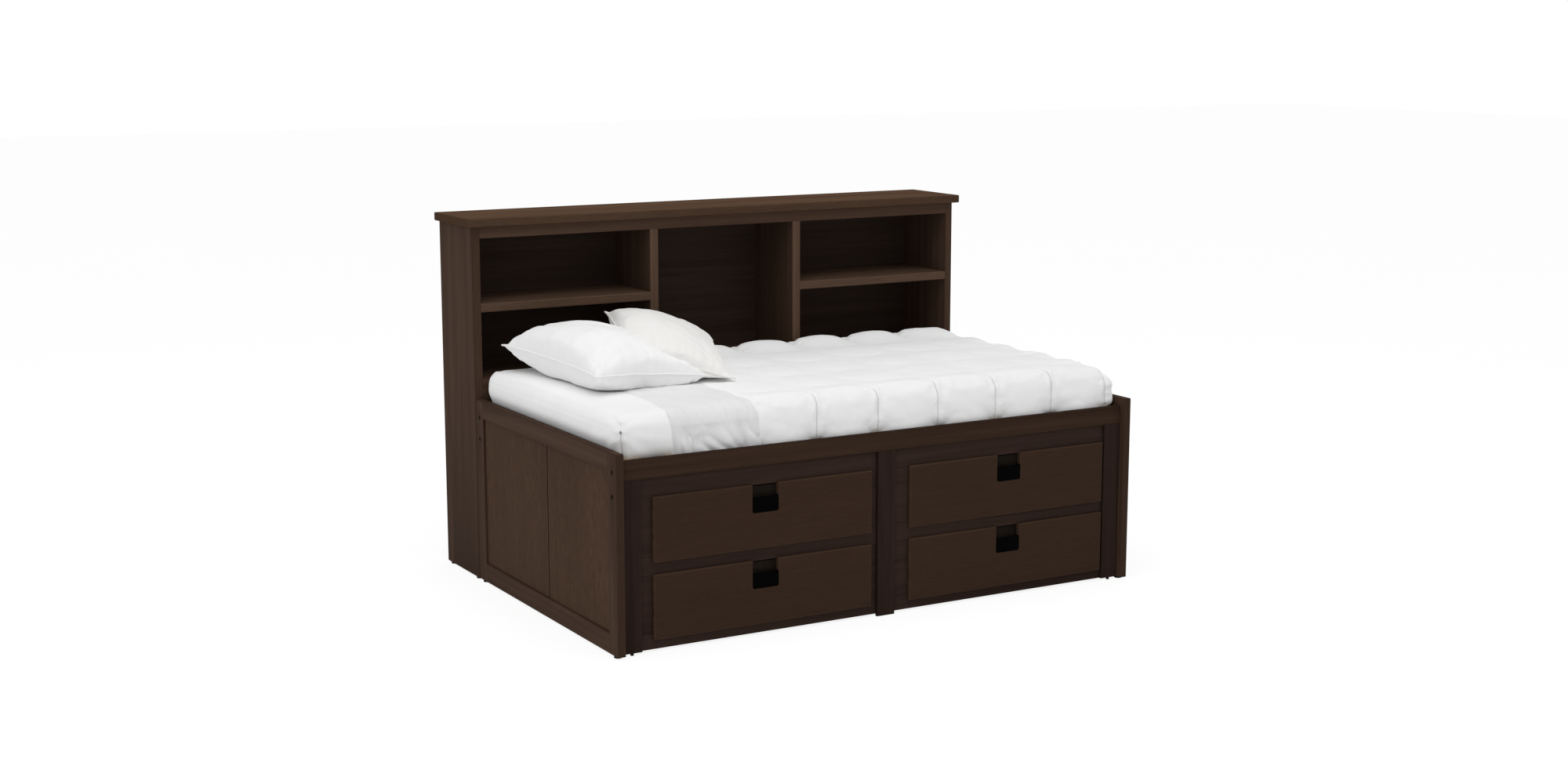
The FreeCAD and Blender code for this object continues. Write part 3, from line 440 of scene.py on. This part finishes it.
def simulate(piece, pressure, frames, cap, slack, bend, tension, pins=None):
    """Blow a piece up with cloth pressure and keep the result in its mesh.

    cap is the furthest that a point may move; slack is the share by which the cloth may
    grow. pins maps the numbers of held points to their weights.
    """
    scene = bpy.context.scene
    start = [vertex.co.copy() for vertex in piece.data.vertices]
    cloth = piece.modifiers.new("inflate", "CLOTH")
    cloth.settings.quality = 5
    cloth.settings.mass = 0.3
    cloth.settings.tension_stiffness = tension
    cloth.settings.compression_stiffness = tension
    cloth.settings.shear_stiffness = tension / 3
    cloth.settings.bending_stiffness = bend
    cloth.settings.use_pressure = True
    cloth.settings.uniform_pressure_force = pressure
    cloth.settings.shrink_min = -slack
    cloth.settings.effector_weights.gravity = 0
    cloth.collision_settings.use_collision = False
    cloth.point_cache.frame_start = 1
    cloth.point_cache.frame_end = frames
    if pins:
        group = piece.vertex_groups.new(name="pins")
        for number, weight in pins.items():
            group.add([number], weight, "REPLACE")
        cloth.settings.vertex_group_mass = "pins"
    for number in range(1, frames + 1):
        scene.frame_set(number)
    shape = piece.evaluated_get(bpy.context.evaluated_depsgraph_get())
    moved = [vertex.co.copy() for vertex in shape.data.vertices]
    piece.modifiers.clear()
    piece.vertex_groups.clear()
    for vertex, before, after in zip(piece.data.vertices, start, moved):
        step = after - before
        if step.length > cap:
            step *= cap / step.length
        vertex.co = before + step
    scene.frame_set(1)
    piece.data.update()


def thicken(piece, thickness):
    """Give a layer of cloth its thickness, on its inner side."""
    thick = piece.modifiers.new("thick", "SOLIDIFY")
    thick.thickness = thickness
    thick.offset = -1


def refine(piece):
    """One level of subdivision, the same in the view and in the picture."""
    smoother = piece.modifiers.new("refine", "SUBSURF")
    smoother.levels = 1
    smoother.render_levels = 1


def ramp(value, low, high):
    """0 below low, 1 above high, smooth between."""
    share = min(1.0, max(0.0, (value - low) / (high - low)))
    return share * share * (3 - 2 * share)


def fade(distance, reach):
    """1 at no distance, falling off over the reach."""
    return math.exp(-distance / reach)


def hump(offset, width):
    """1 at no offset, a bell of the given width."""
    return math.exp(-(offset / width) ** 2)


def nearest(value, lines):
    """How far the nearest of the lines is."""
    return min(abs(value - line) for line in lines)


def crease(x, y, z, sharp=4.0):
    """1 along wandering lines, 0 between them."""
    return max(0.0, 1 - abs(noise.noise(Vector((x, y, z)))) * sharp)


# ---------------------------------------------------------------- pillows
CASE_STEP = 0.0088  # size of a face in the case's mesh
CROWN = 0.10  # height of the upper layer before it is inflated
SIDE_TUCK = 0.045  # share by which the middle of a side is drawn in
END_TUCK = 0.030
WELT = 0.0030  # radius of the piping
END_PUCKER, END_REACH = 0.011, 0.055  # depth of the puckers, and how far they run in
SIDE_PUCKER, SIDE_REACH = 0.006, 0.040
FAN_DEPTH, FAN_REACH = 0.014, 0.10
FOLD_DEPTH = 0.0050
SOFT_STOP = 0.012  # depth over which a pillow flattens on what it lies on


def flat_case(name, long, wide, material):
    """Two layers of cloth joined all round, long side along Y. Also gives the rim's points."""
    across, along = round(wide / CASE_STEP), round(long / CASE_STEP)
    points = []
    index = {}
    faces = []
    for layer in (0, 1):
        for i in range(across + 1):
            for j in range(along + 1):
                rim = i in (0, across) or j in (0, along)
                if rim and layer:
                    index[layer, i, j] = index[0, i, j]
                    continue
                u = i / across * 2 - 1
                v = j / along * 2 - 1
                tuck_u = 1 - SIDE_TUCK * (1 - v * v)
                tuck_v = 1 - END_TUCK * (1 - u * u)
                lean = u + 0.2 * (1 - u * u)
                over = max(0.0, 1 - abs(lean) ** 2.2) * max(0.0, 1 - abs(v) ** 2.6)
                over = CROWN * over ** 0.58
                under = max(0.0, 1 - abs(u) ** 5) * max(0.0, 1 - abs(v) ** 6)
                under = CROWN * 0.55 * under ** 0.5
                height = over if layer else -under
                index[layer, i, j] = len(points)
                points.append((u * wide / 2 * tuck_u, v * long / 2 * tuck_v, height))
        for i in range(across):
            for j in range(along):
                loop = [index[layer, i + a, j + b] for a, b in ((0, 0), (1, 0), (1, 1), (0, 1))]
                faces.append(loop if layer else loop[::-1])
    rim = [index[0, i, 0] for i in range(across)]
    rim += [index[0, across, j] for j in range(along)]
    rim += [index[0, i, along] for i in range(across, 0, -1)]
    rim += [index[0, 0, j] for j in range(along, 0, -1)]
    return solid(name, points, faces, material), rim


def piping(name, points, radius, material):
    """A round welt along a closed line of points."""
    sides = 8
    count = len(points)
    ring = []
    faces = []
    for number in range(count):
        here = points[number]
        ahead = (points[(number + 1) % count] - points[number - 1]).normalized()
        flat = ahead.cross(Vector((0, 0, 1))).normalized()
        up = flat.cross(ahead).normalized()
        for turn in range(sides):
            angle = 2 * math.pi * turn / sides
            ring.append(here + (flat * math.cos(angle) + up * math.sin(angle)) * radius)
    for number in range(count):
        for turn in range(sides):
            first = number * sides
            second = (number + 1) % count * sides
            after = (turn + 1) % sides
            faces.append((first + turn, first + after, second + after, second + turn))
    return solid(name, ring, faces, material)


def pillow(node, name, long, wide, shape, material, seed):
    """A case inflated by simulation, then settled where the CAD pillow lies."""
    case, rim = flat_case(name, long, wide, material)
    simulate(case, pressure=1.6, frames=16, cap=0.014, slack=0.03, bend=0.08, tension=12.0)
    offset = Vector((seed * 3.7, seed * 1.9, seed * 0.8))
    on_rim = set(rim)
    for vertex in case.data.vertices:
        if vertex.index in on_rim:
            continue
        place = vertex.co.copy()
        face = 1 if place.z > 0 else -1
        end = max(0.0, long / 2 * (1 - END_TUCK) - abs(place.y))
        side = max(0.0, wide / 2 * (1 - SIDE_TUCK) - abs(place.x))
        soft = noise.noise(place * 6 + offset) * 0.006 + noise.noise(place * 15 + offset) * 0.003
        soft *= ramp(min(end, side), 0.0, 0.03)

        # Puckers square to the ends and sides, a fan at each corner and a few long folds.
        pucker = crease(place.x * 30, place.y * 3, seed + face)
        tuck = pucker * fade(end, END_REACH) * END_PUCKER
        pucker = crease(place.y * 26, place.x * 3, seed - face)
        tuck += pucker * fade(side, SIDE_REACH) * SIDE_PUCKER
        for corner_x in (-wide / 2, wide / 2):
            for corner_y in (-long / 2, long / 2):
                reach = Vector((place.x - corner_x, place.y - corner_y))
                ray = math.atan2(abs(reach.y), abs(reach.x))
                away = reach.length
                fan = crease(ray * 4.5, corner_x * 20 + away * 2, corner_y * 20 + seed + face, 3.0)
                tuck += fan * fade(away, FAN_REACH) * ramp(away, 0.015, 0.06) * FAN_DEPTH
        turned_y = place.y * 3 - place.x
        long_fold = crease(place.x * 5 + place.y * 2, turned_y, seed * 2 + face, 5.0)
        tuck += long_fold * FOLD_DEPTH * ramp(min(end, side), 0.01, 0.05)
        vertex.co.z = place.z + soft - face * min(tuck, abs(place.z) * 0.7)
    for vertex in case.data.vertices:
        vertex.co = shape(vertex.co)
    welt = piping(name + "_welt", [case.data.vertices[i].co.copy() for i in rim], WELT, material)
    refine(case)
    for piece in (case, welt):
        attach(piece, "bed")
    welt.parent = case
    welt.matrix_parent_inverse = case.matrix_world.inverted()
    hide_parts(node)


def settled(centre, yaw, tilt, roll, upper, lower, floor):
    """Maps a case at the origin to its resting place.

    The angles are in degrees. upper and lower scale the heights of the two layers, and
    floor is the height of what the pillow lies on.
    """
    turn = Euler((math.radians(roll), math.radians(tilt), math.radians(yaw)), "XYZ").to_matrix()

    def shape(point):
        point = Vector((point.x, point.y, point.z * (upper if point.z > 0 else lower)))
        point = turn @ point + Vector(centre)
        if point.z < floor + SOFT_STOP:
            deep = floor + SOFT_STOP - point.z
            point.z = floor + SOFT_STOP - SOFT_STOP * (1 - math.exp(-deep / SOFT_STOP))
        return point

    return shape


# ---------------------------------------------------------------- mattress, duvet, folded sheet
SHEET_HEM = 0.014  # how far the fitted sheet's skin reaches below the CAD mattress
SIDE_SWELL = 0.006
FREE_SWELL = 0.009  # more of it where the end panel no longer holds the side in
FREE_FROM = 0.640  # height where that starts, just under the end panel's top
GATHER_REACH = 0.09  # how far the gathers run from the corner at the head end
SEAM_VALLEY, SEAM_WIDTH = 0.008, 0.014


def mattress():
    """The mattress in its fitted sheet."""
    low, high = mattress_low, mattress_high
    top = high.z
    sunk = Vector((low.x, low.y, low.z - SHEET_HEM))
    sides = ("x-", "x+", "y-", "y+", "z+", "z-")
    points, faces = box_skin(sunk, high, SHEET_BEND, 0.0125, sides)
    piece = solid("mattress_in_fitted_sheet", points, faces, fitted_cotton)
    normals = [vertex.normal.copy() for vertex in piece.data.vertices]
    for vertex, normal in zip(piece.data.vertices, normals):
        place = vertex.co.copy()
        swell = 0.0
        if abs(normal.z) < 0.5:
            swell = SIDE_SWELL * (1 - abs(2 * (place.z - low.z) / (top - low.z) - 1))
        if normal.x < -0.5:
            swell += FREE_SWELL * ramp(place.z, FREE_FROM, FREE_FROM + 0.035)
        ripple = noise.noise(Vector((place.x * 9, place.y * 5, place.z * 16))) * 0.0016
        if abs(normal.z) < 0.7:
            ripple += noise.noise(Vector((place.x * 26, place.y * 26, place.z * 5))) * 0.0018

        # The sheet is gathered at the corner at the head end, with a seam down it.
        near = (Vector((place.x, place.y)) - Vector((low.x, low.y))).length
        pull = fade(near, GATHER_REACH)
        angle = math.atan2(place.z - top + 0.04, near + 0.01)
        ripple += pull * 0.0030 * math.sin(angle * 14)
        aside = (place.x - low.x) - (place.y - low.y)
        if near < 0.06 and place.z < top - 0.03:
            ripple -= SEAM_VALLEY * hump(aside, SEAM_WIDTH)
        vertex.co = place + normal * (swell + ripple)
    refine(piece)
    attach(piece, "bed")
    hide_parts("mattress")


QUILT_STEP = 0.0105  # size of a face in the duvet's mesh
QUILT_INSET = 0.004
QUILT_HEM = 0.012  # how far the drop reaches below the CAD duvet
FRONT_SEAM = 0.0035  # depth of the stitched lines on the drop
TOP_SEAM, REAR_SEAM = 0.0004, 0.010  # on top, and what is added towards the rear edge
TOP_BULGE = 0.25  # share of the inflated height that the middle of the top keeps
DROP_BULGE = 0.45
FOOT_SINK, CORNER_SINK = 0.012, 0.018
EDGE_TUCK = 0.009


def scallop(distance, height, dip):
    """Height of a far edge: low on a stitched line, high between two."""
    return height * (1 - (1 - min(1.0, distance)) ** 2.4) - dip


def duvet():
    """A quilted skin, open below, held along its stitched lines while it is inflated."""
    low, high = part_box("duvet")
    edge = low.x - 0.012
    base_low = Vector((edge - DUVET_BEND, low.y + QUILT_INSET, low.z - QUILT_HEM))
    base_high = Vector((high.x - QUILT_INSET, high.y - QUILT_INSET, high.z - 0.008))
    sides = ("y-", "x+", "y+", "z+")
    points, faces = box_skin(base_low, base_high, DUVET_BEND, QUILT_STEP, sides)

    # The rounded side at the head end is cut away, which leaves a plain edge.
    faces = [face for face in faces if sum(points[i].x for i in face) / 4 > edge]
    used = sorted({i for face in faces for i in face})
    order = {old: new for new, old in enumerate(used)}
    points = [points[i] for i in used]
    faces = [[order[i] for i in face] for face in faces]
    head = min(place.x for place in points)
    piece = solid("quilted_duvet", points, faces, quilt_cotton)
    limit = base_low.z
    pins = {}
    seams = {}
    for vertex in piece.data.vertices:
        place = vertex.co
        at_front = place.y < base_low.y + 0.03
        at_rear = place.y > base_high.y - 0.03
        near = nearest(place.x, SEAM_X)
        if place.x > base_high.x - 0.03:
            near = 1.0
        if place.x < head + 0.001:
            near = 0.0
        near = min(near, 1.0 if at_front or at_rear else nearest(place.y, SEAM_Y))
        if near < QUILT_STEP * 0.52 and place.z > limit + 0.02:
            rear = ramp(place.y, base_high.y - 0.25, base_high.y - 0.06)
            seams[vertex.index] = FRONT_SEAM if at_front else TOP_SEAM + REAR_SEAM * rear
        if place.z < limit + 0.012:
            near = 0.0
        if near < QUILT_STEP * 0.52:
            pins[vertex.index] = 1.0
    simulate(piece, pressure=2.0, frames=20, cap=0.028, slack=0.04, bend=0.05, tension=10.0,
             pins=pins)
    for vertex in piece.data.vertices:
        place = vertex.co
        if place.z > base_high.z:
            inner = ramp(place.y, low.y + 0.03, low.y + 0.12)
            inner *= 1 - ramp(place.y, base_high.y - 0.20, base_high.y - 0.04)
            kept = 1.0 - (1.0 - TOP_BULGE) * inner
            place.z = base_high.z + (place.z - base_high.z) * kept

            # The far edges rise and fall between the stitched lines.
            rear = scallop(nearest(place.x, SEAM_X) / (SEAM_GAP / 2), 0.014, 0.006)
            place.z += rear * ramp(place.y, base_high.y - 0.20, base_high.y - 0.06)
            side = scallop(nearest(place.y, FOOT_SEAMS) / 0.105, 0.022, 0.008)
            place.z += side * ramp(place.x, base_high.x - 0.16, base_high.x - 0.03)

        # The foot end lies lower, most of all at its front corner, which is squarer.
        foot = ramp(place.x, base_high.x - 0.26, base_high.x)
        foot *= ramp(place.z, base_high.z - 0.15, base_high.z - 0.01)
        at_corner = 1 - ramp(place.y, low.y, low.y + 0.22)
        place.z -= FOOT_SINK * foot + CORNER_SINK * foot * at_corner
        reach_x = place.x - base_high.x + DUVET_BEND
        reach_y = base_low.y + DUVET_BEND - place.y
        if reach_x > 0 and reach_y > 0:
            square = math.hypot(reach_x, reach_y) / max(reach_x, reach_y)
            place.x += reach_x * 0.6 * (square - 1)
            place.y -= reach_y * 0.6 * (square - 1)

        # The drop behind the front rail bulges less, and the edge at the head end turns in.
        if place.y < base_low.y:
            place.y = base_low.y + (place.y - base_low.y) * DROP_BULGE
        tuck = EDGE_TUCK * (1 - ramp(place.x, head, head + 0.022))
        if place.z > base_high.z - 0.03:
            place.z -= tuck
        else:
            place.y += tuck
    normals = [vertex.normal.copy() for vertex in piece.data.vertices]
    for vertex, normal in zip(piece.data.vertices, normals):
        place = vertex.co.copy()
        near = nearest(place.x, SEAM_X)
        drop = 1 - ramp(place.y, low.y + 0.02, low.y + 0.10)
        pucker = crease(place.x * 7, place.z * 26 + place.y * 12, 4.0)
        tuck = pucker * fade(near, 0.05) * 0.0030
        slant = crease(place.x * 11 + place.z * 9, place.z * 12 - place.x * 3, 9.0, 5.0)
        tuck += slant * 0.0025
        tuck *= ramp(place.z, limit + 0.01, limit + 0.05)
        soft = noise.noise(place * 7) * 0.0022
        inward = tuck * drop + seams.get(vertex.index, 0.0) - soft * (1 - drop)
        vertex.co = place - normal * inward
    thicken(piece, 0.007)
    refine(piece)
    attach(piece, "bed")
    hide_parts("duvet")


BAND_WIDTH = 0.278  # seen of the folded sheet at the rear; it is wider towards the front
BAND_SPREAD = 0.032
BAND_COVERED = 0.014  # strip under the duvet
DROP_FREE_FROM = 0.622  # height above which the rail no longer holds the drop in


def turned_sheet():
    """The folded-over band: across the top, round the edge and down behind the front rail."""
    low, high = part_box("turned_sheet")
    top = high.z - 0.004
    front = low.y - 0.001
    bend = SHEET_BEND
    flat_step, drop_step, bend_steps, columns = 0.011, 0.007, 8, 60

    # Rows from the rear to the lower edge: Y, Z, share of the drop, and the way out.
    run = []
    y = high.y - 0.012
    while y > front + bend:
        run.append((y, top, 0.0, 0.0, 1.0))
        y -= flat_step
    for step in range(1, bend_steps + 1):
        angle = step / bend_steps * math.pi / 2
        out_y, out_z = -math.sin(angle), math.cos(angle)
        y = front + bend + bend * out_y
        run.append((y, top - bend + bend * out_z, 0.3 * step / bend_steps, out_y, out_z))
    z = top - bend - drop_step
    while z > low.z - 0.004:
        run.append((front, z, 0.3 + 0.7 * (top - bend - z) / 0.11, -1.0, 0.0))
        z -= drop_step

    points = []
    faces = []
    far = high.x + BAND_COVERED
    for row, (y, z, drop, out_y, out_z) in enumerate(run):
        near = high.x - BAND_WIDTH - BAND_SPREAD * (1 - ramp(y, front, -0.33))
        near += 0.006 * drop + 0.002 * math.sin(row * 0.35)
        free = ramp(z + out_z * 0.01, DROP_FREE_FROM, DROP_FREE_FROM + 0.038) if drop else 1.0
        shoulder = hump(y - z + 0.03 - (front - top), 0.09)
        ridge = hump(z - top + bend, 0.006)
        for column in range(columns + 1):
            share = column / columns
            x = near + (far - near) * share
            lip = ramp(share, 0.0, 0.05)

            # Soft waves on the drop, the edge at the head end lying close, and sharp creases.
            fold = math.sin(share * 15 + 1.6 * math.sin(share * 8) + z * 9) * 0.5
            fold += 0.6 * noise.noise(Vector((share * 6.0, z * 6, 3.0)))
            rise = (0.005 + 0.009 * free) * drop * (fold + 0.25) * lip
            rise -= 0.010 * (1 - ramp(share, 0.0, 0.09)) * (0.3 + 0.7 * min(1.0, drop * 3))
            rise += (0.0045 + noise.noise(Vector((x * 8, y * 8, z * 8))) * 0.003) * lip
            slant = crease(x * 17 + z * 14, z * 7 - x * 5, 1.0, 3.5)
            gather = crease(x * 26 + y * 5, y * 4 + x * 3, 6.0, 3.5)
            rise -= slant * 0.0100 * drop * lip
            rise -= gather * (0.0018 + 0.0060 * shoulder) * lip
            rise += 0.0060 * ridge * drop * lip
            sway = 0.004 * drop * math.sin(share * 19) * lip
            points.append((x + sway, y + out_y * rise, z + out_z * rise))
    for row in range(len(run) - 1):
        for column in range(columns):
            first = row * (columns + 1) + column
            below = first + columns + 1
            faces.append((below, below + 1, first + 1, first))
    piece = solid("turned_down_sheet", points, faces, grey_cotton)
    thicken(piece, 0.0016)
    refine(piece)
    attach(piece, "bed")
    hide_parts("turned_sheet")


mattress()
turned_sheet()
duvet()
pillow("pillow_front", "head_pillow", 0.648, 0.435,
       settled((-0.681, 0.028, 0.813), 4.5, 4.3, 2.0, 1.10, 1.10, 0.754), white_cotton, 1)
pillow("pillow_rear", "second_pillow", 0.62, 0.40,
       settled((-0.439, 0.030, 0.847), -20.0, 16.0, 4.0, 0.80, 0.95, 0.775), cream_cotton, 2)


# ---------------------------------------------------------------- studio
AIM = (0, 0, 0.6)
CAMERA_PLACE = (-3.7921, -6.5949, 1.9754)
CAMERA_DIP = 9.886
CAMERA_TURN = 29.94
WORLD_LIGHT = 0.61


def studio():
    """A white floor and background, three soft lamps and the photo's camera."""
    bpy.ops.mesh.primitive_plane_add(size=1, location=(0, 0, 0))
    floor = bpy.context.object
    floor.name = "floor"
    floor.scale = (60, 60, 1)
    graph = Graph("floor_paper")
    colour = graph.mix(graph.noise(graph.place(), 40.0), (0.95, 0.95, 0.95, 1), (1, 1, 1, 1))
    graph.link(colour, graph.shader.inputs["Base Color"])
    graph.shader.inputs["Roughness"].default_value = 0.9
    graph.shader.inputs["Specular IOR Level"].default_value = 0.0
    glow = graph.add("ShaderNodeEmission", {"Strength": 1.08})
    seen = graph.add("ShaderNodeLightPath").outputs["Is Camera Ray"]
    share = graph.math("MULTIPLY", seen, 0.8)
    inputs = {0: share, 1: graph.shader.outputs[0], 2: glow.outputs[0]}
    blend = graph.add("ShaderNodeMixShader", inputs)
    graph.link(blend.outputs[0], graph.tree.nodes["Material Output"].inputs["Surface"])
    floor.data.materials.append(graph.material)

    world = bpy.data.worlds.new("studio")
    bpy.context.scene.world = world
    bpy.context.scene.view_settings.view_transform = "Standard"
    world.use_nodes = True
    tree = world.node_tree
    path = tree.nodes.new("ShaderNodeLightPath")
    strength = tree.nodes.new("ShaderNodeMapRange")
    strength.inputs[3].default_value = WORLD_LIGHT
    strength.inputs[4].default_value = 1.0
    tree.links.new(path.outputs["Is Camera Ray"], strength.inputs[0])
    tree.links.new(strength.outputs[0], tree.nodes["Background"].inputs["Strength"])
    tree.nodes["Background"].inputs["Color"].default_value = (1, 1, 1, 1)

    def soft_box(name, place, aim, wide, high, power):
        data = bpy.data.lights.new(name, "AREA")
        data.shape = "RECTANGLE"
        data.size = wide
        data.size_y = high
        data.energy = power
        lamp = bpy.data.objects.new(name, data)
        lamp.location = place
        lamp.rotation_euler = (Vector(aim) - Vector(place)).to_track_quat("-Z", "Y").to_euler()
        bpy.context.scene.collection.objects.link(lamp)

    soft_box("key", (-1.0, -1.6, 5.8), AIM, 4.5, 4.5, 118)
    soft_box("fill", (2.5, -6.5, 3.2), AIM, 5.0, 3.0, 4)
    soft_box("side", (-6.0, 0.8, 2.6), (-0.9, 0, 0.5), 3.0, 3.0, 17)

    camera_data = bpy.data.cameras.new("camera")
    camera_data.sensor_fit = "HORIZONTAL"
    camera_data.sensor_width = 36
    camera_data.lens = 50
    camera_data.clip_end = 100
    camera = bpy.data.objects.new("camera", camera_data)
    camera.location = CAMERA_PLACE
    camera.rotation_euler = (math.radians(90 - CAMERA_DIP), 0, math.radians(-CAMERA_TURN))
    bpy.context.scene.collection.objects.link(camera)
    bpy.context.scene.camera = camera


studio()
